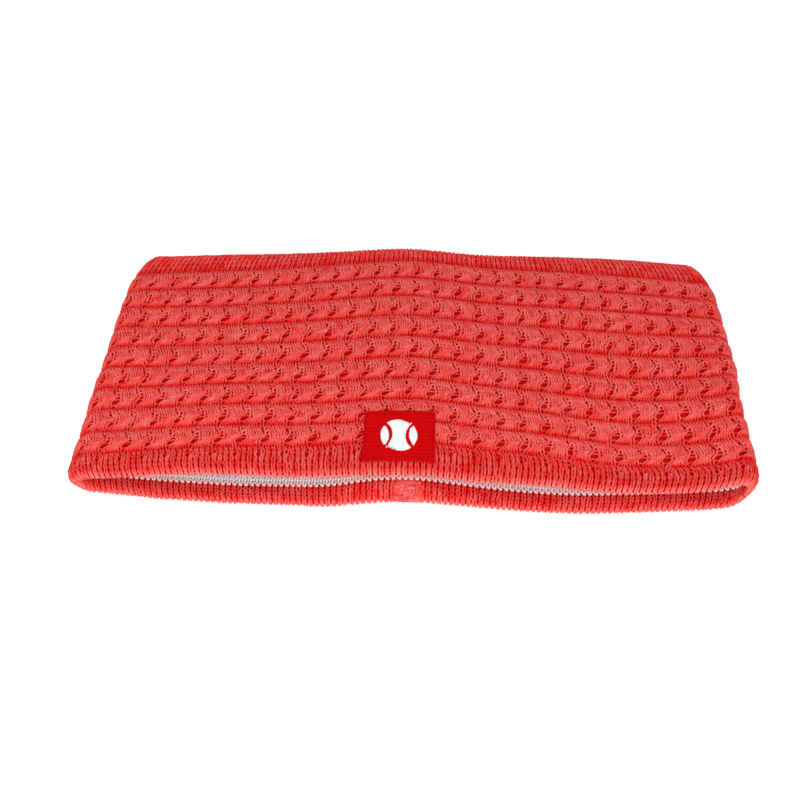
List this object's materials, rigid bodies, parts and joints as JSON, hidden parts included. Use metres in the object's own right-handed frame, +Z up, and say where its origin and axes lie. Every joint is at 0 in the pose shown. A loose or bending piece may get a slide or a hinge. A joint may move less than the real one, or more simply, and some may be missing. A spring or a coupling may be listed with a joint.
{
  "type": "sports headband",
  "caption": "Wide knitted sports headband, lined, with turned-in rims and a small woven label, lying flat.",
  "frame": {"origin": "centre of the underside of the flat-lying band's box, on the table", "axes": "+X from fold to fold, to the right of someone facing the label; +Y from the label's rim to the other rim, along the wearer's head axis; +Z up from the table, out of the label"},
  "size_m": [0.24, 0.1094, 0.0171],
  "materials": {
    "outer_yarn": "coral red acrylic yarn, textured knit",
    "lining_yarn": "off-white acrylic yarn, plain knit",
    "linking_thread": "pink linking yarn",
    "label_weave": "deep red woven polyester",
    "label_thread": "deep red sewing thread",
    "emblem_thread": "white embroidery thread"
  },
  "bodies": {
    "root": {"outer_knit_band": "outer_yarn", "inner_lining": "lining_yarn", "lower_linking_seam": "linking_thread", "upper_linking_seam": "linking_thread", "back_seam": "outer_yarn", "lining_back_seam": "lining_yarn", "label_patch": "label_weave", "label_stitching": "label_thread", "label_emblem": "emblem_thread"}
  },
  "joints": []
}
